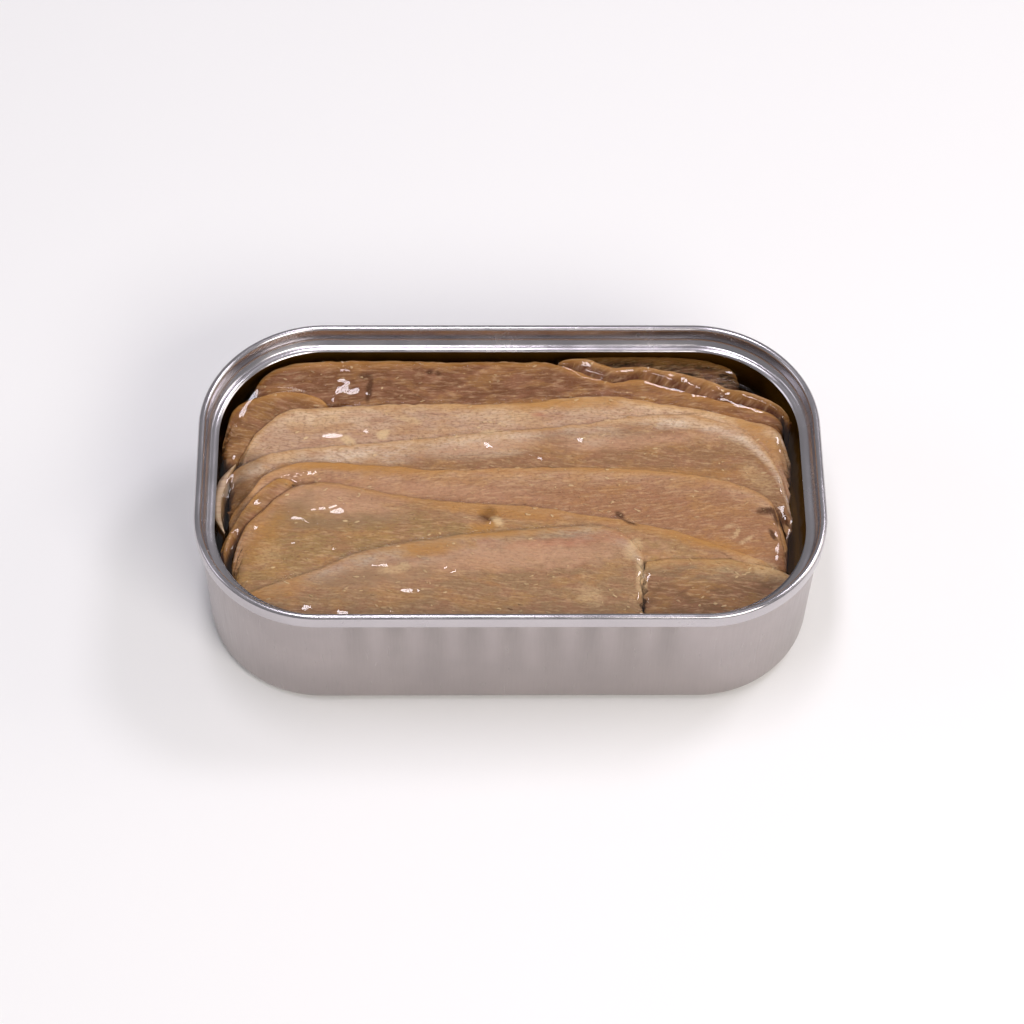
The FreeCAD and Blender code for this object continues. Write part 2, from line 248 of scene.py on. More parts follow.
def rolled(name, outline, material, fluted=False):
    """Sweeps a closed outline once round the tin with geometry nodes, with or without flutes in its long walls."""
    profile = bpy.data.meshes.new(name + "_profile")
    edges = [(n, (n + 1) % len(outline)) for n in range(len(outline))]
    profile.from_pydata([(u * mm, -z * mm, 0) for u, z in outline], edges, [])
    profile = bpy.data.objects.new(name + "_profile", profile)
    piece = bpy.data.objects.new(name, bpy.data.meshes.new(name))
    for made in (profile, piece):
        bpy.context.collection.objects.link(made)

    values = {
        "Profile": ("Object", profile), "Length": ("Float", tin_length * mm), "Width": ("Float", tin_width * mm),
        "Corner radius": ("Float", corner_radius * mm), "Flute pitch": ("Float", flute_pitch * mm),
        "Flute count": ("Int", flute_count), "Flute radius": ("Float", flute_radius * mm),
        "Flute depth": ("Float", flute_depth * mm), "Material": ("Material", material),
    }
    tree = bpy.data.node_groups.new(name, "GeometryNodeTree")
    for label, (kind, _) in values.items():
        tree.interface.new_socket(label, in_out="INPUT", socket_type="NodeSocket" + kind)
    tree.interface.new_socket("Geometry", in_out="OUTPUT", socket_type="NodeSocketGeometry")
    given = add(tree, "NodeGroupInput").outputs
    rectangle = add(tree, "GeometryNodeCurvePrimitiveQuadrilateral", i0=given["Length"],
                    i1=given["Width"]).outputs[0]
    path = add(tree, "GeometryNodeFilletCurve", {"mode": "POLY"}, Curve=rectangle, Radius=given["Corner radius"],
               Count=48, Limit_Radius=True).outputs[0]
    if fluted:
        path = add(tree, "GeometryNodeResampleCurve", {"mode": "LENGTH"}, Curve=path, Length=0.4 * mm).outputs[0]
    shape = add(tree, "GeometryNodeObjectInfo", Object=given["Profile"]).outputs["Geometry"]
    shape = add(tree, "GeometryNodeMeshToCurve", Mesh=shape).outputs[0]
    swept = add(tree, "GeometryNodeCurveToMesh", Curve=path, Profile_Curve=shape).outputs[0]
    if fluted:
        swept = flutes(tree, swept, given)
    smooth = add(tree, "GeometryNodeSetShadeSmooth", i0=swept).outputs[0]
    real = add(tree, "GeometryNodeRealizeInstances", i0=smooth).outputs[0]
    painted = add(tree, "GeometryNodeSetMaterial", Geometry=real, Material=given["Material"]).outputs[0]
    add(tree, "NodeGroupOutput", Geometry=painted)

    modifier = piece.modifiers.new("roll", "NODES")
    modifier.node_group = tree
    for item in tree.interface.items_tree:
        if item.item_type == "SOCKET" and item.in_out == "INPUT":
            modifier[item.identifier] = values[item.name][1]
    mesh = bpy.data.meshes.new_from_object(piece.evaluated_get(bpy.context.evaluated_depsgraph_get()))
    mesh.name = name
    piece.modifiers.clear()
    piece.data = mesh
    bpy.data.objects.remove(profile)
    outward(mesh)
    return piece


def metal(name, light, dark, rough, draw, depth):
    """Mill-finish aluminium sheet: bare metal, its colour and gloss a little uneven, marked by fine lines in the
    direction it was drawn. draw is the lines' spacing in millimetres along x, y and z, depth their strength."""
    material = bpy.data.materials.new(name)
    material.use_nodes = True
    tree = material.node_tree
    shader = tree.nodes["Principled BSDF"]
    shader.inputs["Metallic"].default_value = 1.0
    where = add(tree, "ShaderNodeTexCoord").outputs["Object"]
    lines_at = add(tree, "ShaderNodeMapping", Vector=where, Scale=[1 / (d * mm) for d in draw]).outputs[0]
    lines = add(tree, "ShaderNodeTexNoise", Vector=lines_at, Scale=1.0, Detail=3.0, Roughness=0.6).outputs[0]
    clouds = add(tree, "ShaderNodeTexNoise", Vector=where, Scale=1 / (9 * mm), Detail=2.0).outputs[0]
    tone = add(tree, "ShaderNodeMix", {"data_type": "RGBA"}, i0=clouds, i6=linear(dark),
               i7=linear(light)).outputs[2]
    gloss = add(tree, "ShaderNodeMapRange", i0=lines, i1=0.3, i2=0.7, i3=rough - 0.05, i4=rough + 0.07).outputs[0]
    relief = add(tree, "ShaderNodeBump", Strength=depth, Distance=0.02 * mm, Height=lines).outputs[0]
    tree.links.new(tone, shader.inputs["Base Color"])
    tree.links.new(gloss, shader.inputs["Roughness"])
    tree.links.new(relief, shader.inputs["Normal"])
    return material


# Mill-finish aluminium, deep-drawn: satin, with faint upright lines from the drawing die
drawn_aluminium = metal("deep_drawn_aluminium", "bab1af", "a9a1a0", 0.32, (0.3, 0.3, 9.0), 0.14)

# Clear-lacquered aluminium under oil, olive brown. Painted shade darkens it the deeper it lies under the oil, and a
# painted glow of gold at the right end stands in for the light that comes back from the wall
lacquer_with_painted_shade = bpy.data.materials.new("lacquered_aluminium_with_painted_shade")
lacquer_with_painted_shade.use_nodes = True
tree = lacquer_with_painted_shade.node_tree
place = add(tree, "ShaderNodeSeparateXYZ", Vector=add(tree, "ShaderNodeTexCoord").outputs["Object"]).outputs
tint = linear("7a5a20")
# Painted shade that deepens with depth under the oil, then a painted gold glow towards the right end
for way, start, end, code in ((2, 21.3, 15.0, "3a2408"), (0, 44.0, 51.0, "d0a440")):
    share = add(tree, "ShaderNodeMapRange", i0=place[way], i1=start * mm, i2=end * mm, i3=0.0, i4=1.0).outputs[0]
    tint = add(tree, "ShaderNodeMix", {"data_type": "RGBA"}, i0=share, i6=tint, i7=linear(code)).outputs[2]
shader = tree.nodes["Principled BSDF"]
tree.links.new(tint, shader.inputs["Base Color"])
shader.inputs["Metallic"].default_value = 0.2
shader.inputs["Roughness"].default_value = 0.38

fold = (body_hook - body_wall) / 2
arch_top = tin_height - sheet / 2 - layer_step
panel_edge = ring_in - 2 * base_bend
body_outline = bent_sheet(
    [
        (body_hook, seam_foot + sheet + 0.12),
        (body_hook, arch_top),
        (body_wall, arch_top),
        (body_wall, seam_foot),
        (base_wall, sheet / 2),
        (ring_in, sheet / 2),
        (ring_in - base_bend, base_lift + sheet / 2),
        (panel_edge - base_bend, base_lift + sheet / 2),
    ],
    [fold, fold, 6.0, base_radius, base_bend, base_bend],
)


def rounded(inset, steps=24):
    """Corners of the rounded rectangle that lies inset inside the outside of the seam, in millimetres."""
    half_x, half_y, radius = tin_length / 2 - inset, tin_width / 2 - inset, corner_radius - inset
    ring = []
    for turn, (sx, sy) in enumerate([(1, 1), (-1, 1), (-1, -1), (1, -1)]):
        middle_x, middle_y = sx * (half_x - radius), sy * (half_y - radius)
        for n in range(steps + 1):
            a = math.radians(90 * turn + 90 * n / steps)
            ring.append((middle_x + radius * math.cos(a), middle_y + radius * math.sin(a)))
    return ring


tin_body = rolled("body_sheet", body_outline, drawn_aluminium, fluted=True)
ring = rounded(base_bend - panel_edge)
count = len(ring)
plate = bpy.data.meshes.new("base_panel")
plate.from_pydata(
    [(x * mm, y * mm, z * mm) for z in (base_lift, base_lift + sheet) for x, y in ring],
    [],
    [tuple(reversed(range(count))), tuple(range(count, 2 * count))]
    + [(n, (n + 1) % count, count + (n + 1) % count, count + n) for n in range(count)],
)
plate.materials.append(drawn_aluminium)
outward(tin_body.data, [plate])
straight_half = (tin_length / 2 - corner_radius, tin_width / 2 - corner_radius)
for face in tin_body.data.polygons:
    middle = face.center / mm
    out = Vector([math.copysign(max(abs(c) - half, 0), c) for c, half in zip(middle, straight_half)])
    inside = face.normal.xy.dot(out) < -0.1 or face.normal.z > 0.5
    face.material_index = int(inside and middle.z < ring_top)
    face.use_smooth = len(face.vertices) == 4
tin_body.data.materials.append(lacquer_with_painted_shade)
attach(tin_body, "root")
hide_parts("tin_body")

# ---------------------------------------------------------------------------------------------------------------
# Seam ring. What is left of the peel-off end: its cover hook and seaming panel folded round the body's hook, the
# chuck wall, and the narrow ring of panel whose inner edge is the torn score line.
# ---------------------------------------------------------------------------------------------------------------
end_aluminium = metal("rolled_end_aluminium", "cac5c7", "beb9bc", 0.22, (6, 6, 6), 0.0)
curl = (cover_wall - cover_hook) / 2
ring_mid = ring_top - sheet / 2
ring_outline = bent_sheet(
    [
        (-3.26, ring_mid),
        (chuck_wall - 0.75, ring_mid),
        (chuck_wall, seam_foot + 0.12),
        (chuck_wall, tin_height - sheet / 2),
        (cover_wall, tin_height - sheet / 2),
        (cover_wall, seam_foot + sheet / 2),
        (cover_hook, seam_foot + sheet / 2),
        (cover_hook, tin_height - sheet - layer_step - 0.12),
    ],
    [0.55, 1.2, (cover_wall - chuck_wall) / 2, (cover_wall - chuck_wall) / 2, curl, curl],
)
seam_ring = rolled("end_ring", ring_outline, end_aluminium)
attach(seam_ring, "root")
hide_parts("seam_ring")

# ---------------------------------------------------------------------------------------------------------------
# Fillets. Cooked tuna loin cut into long slabs and packed by hand on edge, leaning back on one another. Each has a
# crisp cut crest, a softer top that falls towards the viewer, fibres that run along it at a slight angle, and torn
# crumbs.
# ---------------------------------------------------------------------------------------------------------------
inner_length = tin_length / 2 + body_wall - sheet / 2
inner_width = tin_width / 2 + body_wall - sheet / 2
fish_floor = base_lift + sheet + 0.2
fish_gap, thin_end, crest_round = 0.15, 0.5, 0.5

# Crests as seen from above: place along the tin and across it, as shares of the half inside, and millimetres below
# the torn ring
front_wall = [(-1, -1.1, 0), (1, -1.1, 0)]
front_crest = [
    (-0.90, -0.79, 2.2), (-0.79, -0.69, 1.7), (-0.62, -0.583, 1.3), (-0.49, -0.472, 1.1), (-0.23, -0.37, 1.0),
    (0.015, -0.314, 1.0), (0.25, -0.285, 1.0), (0.32, -0.30, 1.0), (0.38, -0.37, 1.1), (0.425, -0.47, 1.3),
]
front_right_crest = [
    (0.418, -0.507, 2.1), (0.58, -0.493, 2.0), (0.72, -0.507, 2.0), (0.85, -0.562, 2.1), (0.91, -0.61, 2.4),
]
fifth_crest = [
    (-0.90, -0.45, 2.4), (-0.865, -0.286, 2.1), (-0.81, -0.176, 1.9), (-0.735, -0.041, 1.7), (-0.66, 0.02, 1.6),
    (-0.575, 0.02, 1.6), (-0.36, -0.062, 1.6), (-0.21, -0.107, 1.6), (0.015, -0.138, 1.6), (0.305, -0.217, 1.6),
    (0.52, -0.303, 1.7), (0.65, -0.393, 1.9), (0.785, -0.49, 2.0), (0.87, -0.56, 2.3),
]
flake_crest = [
    (-0.94, -0.39, 2.6), (-0.92, -0.33, 2.2), (-0.84, -0.08, 1.9), (-0.765, 0.05, 1.8), (-0.70, 0.055, 1.9),
]
flake_front = [
    (-0.94, -0.43, 2.2), (-0.865, -0.262, 2.1), (-0.81, -0.155, 1.9), (-0.735, -0.025, 1.7), (-0.66, 0.03, 1.6),
]
fourth_crest = [
    (-0.915, -0.17, 2.7), (-0.85, -0.04, 2.1), (-0.80, 0.08, 1.8), (-0.70, 0.16, 1.6), (-0.63, 0.172, 1.6),
    (-0.36, 0.138, 1.9), (-0.23, 0.12, 2.0), (0.12, 0.141, 2.0), (0.39, 0.128, 2.0), (0.56, 0.10, 2.0),
    (0.73, 0.028, 2.0), (0.86, -0.107, 2.2), (0.90, -0.345, 2.8),
]
third_crest = [
    (-0.92, 0.15, 2.8), (-0.765, 0.25, 2.2), (-0.50, 0.307, 2.1), (-0.09, 0.386, 2.0), (0.26, 0.455, 2.0),
    (0.40, 0.503, 2.0), (0.585, 0.524, 2.0), (0.675, 0.486, 2.0), (0.765, 0.42, 2.0), (0.83, 0.307, 2.1),
    (0.89, 0.114, 2.3), (0.92, -0.05, 2.8),
]
second_crest = [
    (-0.895, 0.23, 2.8), (-0.845, 0.38, 2.5), (-0.75, 0.54, 2.3), (-0.64, 0.57, 2.2), (-0.37, 0.597, 2.1),
    (0.02, 0.603, 2.1), (0.29, 0.655, 2.0), (0.54, 0.59, 2.2), (0.815, 0.47, 2.3), (0.90, 0.40, 2.5),
    (0.93, 0.30, 3.0),
]
corner_crest = [
    (-0.955, 0.41, 2.6), (-0.92, 0.56, 2.3), (-0.825, 0.65, 2.1), (-0.74, 0.69, 2.1), (-0.66, 0.67, 2.2),
    (-0.60, 0.62, 2.5),
]
back_crest = [
    (-0.855, 0.77, 2.9), (-0.80, 0.84, 2.5), (-0.74, 0.885, 2.2), (-0.60, 0.905, 1.8), (-0.19, 0.905, 2.1),
    (0.155, 0.893, 2.2), (0.33, 0.77, 2.6), (0.45, 0.79, 2.7), (0.57, 0.71, 2.7), (0.82, 0.585, 2.9),
    (0.91, 0.52, 3.3),
]
back_right_crest = [
    (0.15, 0.91, 1.8), (0.26, 0.90, 1.1), (0.35, 0.855, 1.7), (0.44, 0.845, 1.2), (0.575, 0.79, 1.0),
    (0.68, 0.74, 1.2), (0.735, 0.70, 1.7), (0.80, 0.655, 1.1), (0.90, 0.57, 1.4), (0.945, 0.51, 2.2),
]
sunk_crest = [(0.22, 0.99, 3.8), (0.45, 0.98, 3.5), (0.66, 0.96, 3.8), (0.78, 0.90, 4.4)]

# Marks on the flesh by kind, in millimetres: middle x and y, half length, half width, turn in degrees, strength
marks = {
    "brown": [
        (-24.0, 20.4, 2.9, 0.55, 84, 0.95), (-24.6, 23.2, 1.2, 0.7, 10, 0.7),
        (-13.6, 23.9, 0.7, 0.55, 0, 0.8), (-12.1, 23.7, 0.5, 0.5, 0, 0.7), (15.5, 25.8, 1.6, 0.7, -20, 0.7),
        (21.6, 25.2, 1.6, 0.7, -8, 0.9), (-3.6, -6.2, 1.6, 1.7, 40, 0.85), (18.3, -5.6, 0.9, 0.6, -60, 0.8),
        (19.6, -7.2, 2.4, 0.45, -30, 0.75), (43.9, -4.9, 2.1, 0.7, 8, 1.0), (45.5, -6.4, 1.3, 1.2, -40, 1.0),
        (43.9, -9.9, 1.3, 0.45, -60, 0.9),
    ],
    "red": [
        (8.5, -12.1, 9.5, 0.75, 4, 0.9), (17.0, -10.6, 4.5, 0.9, 3, 0.6), (-4.5, -11.8, 2.0, 0.6, 0, 0.55),
        (5.0, 15.0, 1.2, 0.35, 0, 0.8), (-24.0, 14.9, 2.2, 0.35, 0, 0.3),
    ],
    "pink": [
        (3.0, -14.6, 17.0, 2.3, 3, 0.95), (-29.5, -3.4, 10.0, 2.5, -8, 0.8), (24.0, 9.5, 14.0, 1.2, 5, 0.7),
        (-4.0, 8.2, 12.0, 1.0, 6, 0.55), (-14.0, -0.5, 16.0, 1.4, -5, 0.55),
        (-22.0, -18.0, 12.0, 3.0, 2, 0.35),
    ],
    "grey": [
        (-28.0, -7.2, 10.0, 1.3, 3, 0.75), (-37.0, -5.5, 4.5, 1.6, 40, 0.6),
        (-25.0, -19.0, 9.0, 1.5, 4, 0.55),
    ],
    "gold": [
        (-4.6, -8.6, 2.4, 1.0, 10, 0.8), (-14.0, -13.2, 6.5, 1.3, 7, 0.9), (-3.0, -10.4, 7.0, 0.9, 5, 0.8),
        (1.0, -6.0, 9.0, 1.0, -6, 0.7), (-30.0, 4.1, 8.0, 1.0, 0, 1.0), (-19.0, 3.2, 6.0, 1.2, -4, 0.7),
        (10.0, 17.4, 15.0, 1.2, 2, 0.8), (42.0, 11.5, 6.0, 1.4, -42, 0.8), (45.0, 8.0, 3.0, 1.6, -65, 0.7),
        (33.0, -11.5, 9.0, 1.1, -12, 0.7), (-41.0, -10.0, 5.5, 2.4, 55, 0.6), (25.0, 3.2, 16.0, 0.8, -2, 0.5),
        (-39.0, -21.5, 5.0, 1.4, 12, 0.6),
    ],
    "pale": [
        (-2.2, -7.4, 1.3, 0.8, -50, 0.8), (36.5, 9.0, 8.0, 2.2, -18, 0.25), (42.0, 2.0, 5.5, 2.0, -40, 0.35),
        (20.3, -13.0, 1.6, 2.6, -15, 0.55), (21.5, -18.5, 0.9, 3.5, 0, 0.6),
        (13.0, -22.5, 3.0, 1.9, -30, 0.42), (42.0, -16.5, 5.0, 1.6, -22, 0.5),
        (-21.5, 10.9, 1.2, 0.9, 0, 1.0), (-27.3, 9.6, 1.6, 0.8, -40, 0.8), (-17.0, 14.0, 2.2, 0.7, -10, 0.5),
        (37.8, -9.4, 1.5, 0.42, 58, 0.6), (39.4, -10.8, 1.6, 0.42, 30, 0.6), (36.6, -8.0, 1.2, 0.4, 15, 0.5),
        (-19.0, -17.2, 3.2, 1.0, 12, 0.5), (0.0, 14.6, 6.0, 0.9, 4, 0.35), (-40.5, -13.5, 3.4, 2.6, 70, 0.3),
        (-3.0, 11.5, 2.0, 0.6, 8, 0.7),
    ],
    "shade": [
        (-45.6, -2.0, 1.6, 6.5, 0, 0.9), (-44.0, 5.5, 2.2, 2.6, -30, 0.6), (47.5, 8.0, 1.6, 7.0, 10, 0.6),
    ],
}


def grain(u, v, seed):
    """Smooth random field over two arrays, from -1 to 1, with swells about one unit wide."""
    def corner(i, j):
        h = np.sin(i * 127.1 + j * 311.7 + seed * 74.7) * 43758.5453
        return (h - np.floor(h)) * 2 - 1
    i, j = np.floor(u), np.floor(v)
    a, b = u - i, v - j
    a, b = a * a * (3 - 2 * a), b * b * (3 - 2 * b)
    low = corner(i, j) * (1 - a) + corner(i + 1, j) * a
    high = corner(i, j + 1) * (1 - a) + corner(i + 1, j + 1) * a
    return low * (1 - b) + high * b


def along(points, x):
    """Smooth curve through points (x, value, ...): the values at x."""
    n = next((i for i in range(1, len(points) - 1) if x < points[i][0]), len(points) - 1)
    p, q = points[n - 1], points[n]
    before, after = points[max(n - 2, 0)], points[min(n + 1, len(points) - 1)]
    t = min(max((x - p[0]) / (q[0] - p[0]), 0), 1)
    values = []
    for k in range(1, len(p)):
        m0 = (q[k] - before[k]) / (q[0] - before[0]) * (q[0] - p[0])
        m1 = (after[k] - p[k]) / (after[0] - p[0]) * (q[0] - p[0])
        values.append((2 * t ** 3 - 3 * t ** 2 + 1) * p[k] + (t ** 3 - 2 * t ** 2 + t) * m0
                      + (3 * t ** 2 - 2 * t ** 3) * q[k] + (t ** 3 - t ** 2) * m1)
    return values


wall_clearance, flute_reach = 0.28, 22


def kept_inside(points):
    """Moves points that lie past the inside of the wall back to it, and to the inside of its flutes lower down."""
    gap = wall_clearance - body_wall + sheet / 2
    half = np.array(straight_half)
    lean = wall_taper * (seam_foot - points[..., 2]) / seam_foot
    radius = corner_radius - gap - lean - flute_depth * (points[..., 2] < flute_reach)
    over = np.abs(points[..., :2]) - half
    reach = np.hypot(np.maximum(over[..., 0], 0), np.maximum(over[..., 1], 0))
    shrink = np.where(reach > radius, radius / np.maximum(reach, 1e-6), 1)
    pulled = np.where(over > 0, half + over * shrink[..., None], np.abs(points[..., :2]))
    points[..., :2] = np.copysign(pulled, points[..., :2])
    return points


def basis(t):
    """Weights of the five poles of a clamped cubic B-spline with one middle knot."""
    knots = [0, 0, 0, 0, 0.5, 1, 1, 1, 1]
    level = []
    for low, high in zip(knots, knots[1:]):
        level.append(np.where((t >= low) & ((t < high) | ((high == 1) & (t <= 1))), 1.0, 0.0))
    for degree in range(1, 4):
        for i in range(8 - degree):
            left, right = knots[i + degree] - knots[i], knots[i + degree + 1] - knots[i + 1]
            rising = level[i] * (t - knots[i]) / left if left else 0
            falling = level[i + 1] * (knots[i + degree + 1] - t) / right if right else 0
            level[i] = rising + falling
    return np.stack(level[:5], 1)


# Cooked tuna flesh under oil: moist, a little see-through, streaked along its fibres, its cut edges gold to orange.
# Muscle fibres are finer than show, so the streaks are drawn a few tenths of a millimetre wide.
flesh = bpy.data.materials.new("cooked_tuna_flesh")
flesh.use_nodes = True
tree = flesh.node_tree
colour = add(tree, "ShaderNodeAttribute", {"attribute_name": "flesh"}).outputs["Color"]
fibre_map = add(tree, "ShaderNodeUVMap", {"uv_map": "fibre"}).outputs[0]
patterns = []
for length, width, detail, rough, offset in (
    (2.2, 0.22, 3.0, 0.7, 0.0), (2.6, 0.5, 3.0, 0.65, 7.0), (5.0, 1.8, 5.0, 0.6, 3.0), (7.0, 3.2, 4.0, 0.6, 17.0),
    (0.7, 0.38, 4.0, 0.65, 11.0),
):
    at = add(tree, "ShaderNodeMapping", Vector=fibre_map, Scale=(1 / length, 1 / width, 1),
             Location=(offset, offset, 0)).outputs[0]
    patterns.append(add(tree, "ShaderNodeTexNoise", {"noise_dimensions": "2D"}, Vector=at, Scale=1.0, Detail=detail,
                        Roughness=rough).outputs[0])
streaks, strands, clouds, patches, flecks = patterns
for pattern, start, end, most, code in (
    (clouds, 0.46, 0.62, 0.42, "a87a68"), (patches, 0.5, 0.62, 0.3, "c49a60"), (strands, 0.5, 0.7, 0.36, "e4c8ae"),
    (flecks, 0.5, 0.34, 0.5, "86604c"), (streaks, 0.5, 0.32, 0.4, "8c6450"),
):
    share = add(tree, "ShaderNodeMapRange", i0=pattern, i1=start, i2=end, i3=0.0, i4=most).outputs[0]
    colour = add(tree, "ShaderNodeMix", {"data_type": "RGBA"}, i0=share, i6=colour, i7=linear(code)).outputs[2]
crest_share = add(tree, "ShaderNodeAttribute", {"attribute_name": "crest"}).outputs["Fac"]
crest_share = add(tree, "ShaderNodeMapRange", i0=crest_share, i1=0.1, i2=1.0, i3=0.0, i4=0.5).outputs[0]
golden = add(tree, "ShaderNodeMix", {"data_type": "RGBA"}, i0=streaks, i6=linear("b9823f"),
             i7=linear("cfa565")).outputs[2]
colour = add(tree, "ShaderNodeMix", {"data_type": "RGBA"}, i0=crest_share, i6=colour, i7=golden).outputs[2]
ragged_edge = add(tree, "ShaderNodeMapRange", i0=flecks, i1=0.3, i2=0.6, i3=0.75, i4=1.25).outputs[0]
for kind, start, end, most, code in (
    ("brown", 0.2, 0.85, 0.94, "502a06"), ("red", 0.0, 1.0, 0.7, "b27666"), ("pink", 0.0, 1.0, 0.7, "cca797"),
    ("grey", 0.0, 1.0, 0.7, "917a68"), ("gold", 0.0, 1.0, 0.7, "b98843"), ("pale", 0.2, 0.85, 0.8, "e0cbae"),
    ("shade", 0.0, 1.0, 0.7, "5a3c1c"),
):
    mark = add(tree, "ShaderNodeAttribute", {"attribute_name": kind}).outputs["Fac"]
    mark = add(tree, "ShaderNodeMath", {"operation": "MULTIPLY"}, i0=mark, i1=ragged_edge).outputs[0]
    share = add(tree, "ShaderNodeMapRange", i0=mark, i1=start, i2=end, i3=0.0, i4=most).outputs[0]
    colour = add(tree, "ShaderNodeMix", {"data_type": "RGBA"}, i0=share, i6=colour, i7=linear(code)).outputs[2]
crumb_share = add(tree, "ShaderNodeMapRange", i0=flecks, i1=0.66, i2=0.74, i3=0.0, i4=0.5).outputs[0]
colour = add(tree, "ShaderNodeMix", {"data_type": "RGBA"}, i0=crumb_share, i6=colour,
             i7=linear("dcc296")).outputs[2]
# Painted shade: flesh lying lower than about 20.6 mm is darkened towards olive brown, deep in the hollows under the
# oil
height = add(tree, "ShaderNodeSeparateXYZ", Vector=add(tree, "ShaderNodeTexCoord").outputs["Object"]).outputs[2]
painted_depth_shade = add(tree, "ShaderNodeMapRange", i0=height, i1=20.6 * mm, i2=18.0 * mm, i3=0.0, i4=0.85).outputs[0]
painted_shade_tone = add(tree, "ShaderNodeMix", {"data_type": "RGBA", "blend_type": "MULTIPLY"}, i0=0.75, i6=colour,
           i7=linear("6a4416")).outputs[2]
colour = add(tree, "ShaderNodeMix", {"data_type": "RGBA"}, i0=painted_depth_shade, i6=colour, i7=painted_shade_tone).outputs[2]
fine = add(tree, "ShaderNodeMix", {"data_type": "RGBA"}, i0=0.5, i6=streaks, i7=flecks).outputs[2]
relief = add(tree, "ShaderNodeBump", Strength=1.0, Distance=0.14 * mm, Height=strands).outputs[0]
relief = add(tree, "ShaderNodeBump", Strength=1.0, Distance=0.15 * mm, Height=fine, Normal=relief).outputs[0]
gloss = add(tree, "ShaderNodeMapRange", i0=flecks, i1=0.3, i2=0.7, i3=0.38, i4=0.6).outputs[0]
shader = tree.nodes["Principled BSDF"]
tree.links.new(colour, shader.inputs["Base Color"])
tree.links.new(relief, shader.inputs["Normal"])
tree.links.new(gloss, shader.inputs["Roughness"])
shader.inputs["Subsurface Weight"].default_value = 0.06
shader.inputs["Subsurface Radius"].default_value = (1.0, 0.45, 0.25)
shader.inputs["Subsurface Scale"].default_value = 1.0 * mm
shader.inputs["Specular IOR Level"].default_value = 0.35


def crumb_tree():
    """Geometry nodes that scatter torn crumbs, longer along the fibres, in patches over the faces that look up."""
    tree = bpy.data.node_groups.new("crumbs", "GeometryNodeTree")
    for label, kind in (
        ("Geometry", "Geometry"), ("Per square metre", "Float"), ("Size", "Float"), ("Lowest", "Float"),
        ("Patch", "Float"), ("Seed", "Int"), ("Material", "Material"),
    ):
        tree.interface.new_socket(label, in_out="INPUT", socket_type="NodeSocket" + kind)
    tree.interface.new_socket("Geometry", in_out="OUTPUT", socket_type="NodeSocketGeometry")
    given = add(tree, "NodeGroupInput").outputs

    place = add(tree, "GeometryNodeInputPosition").outputs[0]
    height = add(tree, "ShaderNodeSeparateXYZ", Vector=place).outputs[2]
    facing = add(tree, "ShaderNodeSeparateXYZ", Vector=add(tree, "GeometryNodeInputNormal").outputs[0]).outputs[2]
    per_swell = add(tree, "ShaderNodeMath", {"operation": "DIVIDE"}, i0=1.0, i1=given["Patch"]).outputs[0]
    swell = add(tree, "ShaderNodeTexNoise", Vector=place, Scale=per_swell, Detail=2.0).outputs[0]
    chosen = 1.0
    for value, least in ((facing, 0.8), (height, given["Lowest"]), (swell, 0.54)):
        enough = add(tree, "ShaderNodeMath", {"operation": "GREATER_THAN"}, i0=value, i1=least).outputs[0]
        chosen = add(tree, "ShaderNodeMath", {"operation": "MULTIPLY"}, i0=chosen, i1=enough).outputs[0]
    spots = add(tree, "GeometryNodeDistributePointsOnFaces", Mesh=given["Geometry"], Selection=chosen,
                Density=given["Per square metre"], Seed=given["Seed"]).outputs[0]
    paleness = add(tree, "FunctionNodeRandomValue", {"data_type": "FLOAT"}, i2=0.1, i3=0.75, Seed=5).outputs[1]
    spots = add(tree, "GeometryNodeStoreNamedAttribute", {"data_type": "FLOAT", "domain": "POINT"}, Geometry=spots,
                Name="pale", Value=paleness).outputs[0]
    crumb = add(tree, "GeometryNodeMeshIcoSphere", Radius=given["Size"], Subdivisions=2).outputs[0]
    turn = add(tree, "FunctionNodeRandomValue", {"data_type": "FLOAT_VECTOR"}, i0=(-0.3, -0.3, -0.7),
               i1=(0.3, 0.3, 0.7), Seed=1).outputs[0]
    stretch = add(tree, "FunctionNodeRandomValue", {"data_type": "FLOAT_VECTOR"}, i0=(0.5, 0.4, 0.35),
                  i1=(2.8, 1.0, 0.7), Seed=2).outputs[0]
    crumbs = add(tree, "GeometryNodeInstanceOnPoints", Points=spots, Instance=crumb, Rotation=turn,
                 Scale=stretch).outputs[0]
    crumbs = add(tree, "GeometryNodeRealizeInstances", i0=crumbs).outputs[0]
    rough = add(tree, "ShaderNodeTexNoise", Vector=place, Scale=1 / (0.4 * mm), Detail=1.0).outputs[1]
    rough = add(tree, "ShaderNodeVectorMath", {"operation": "SUBTRACT"}, i0=rough, i1=(0.5, 0.5, 0.5)).outputs[0]
    rough = add(tree, "ShaderNodeVectorMath", {"operation": "SCALE"}, i0=rough, Scale=given["Size"]).outputs[0]
    crumbs = add(tree, "GeometryNodeSetPosition", Geometry=crumbs, Offset=rough).outputs[0]
    crumbs = add(tree, "GeometryNodeSetShadeSmooth", i0=crumbs).outputs[0]
    crumbs = add(tree, "GeometryNodeSetMaterial", Geometry=crumbs, Material=given["Material"]).outputs[0]
    joined = add(tree, "GeometryNodeJoinGeometry")
    tree.links.new(given["Geometry"], joined.inputs[0])
    tree.links.new(crumbs, joined.inputs[0])
    add(tree, "NodeGroupOutput", Geometry=joined.outputs[0])
    return tree


crumb_nodes = crumb_tree()


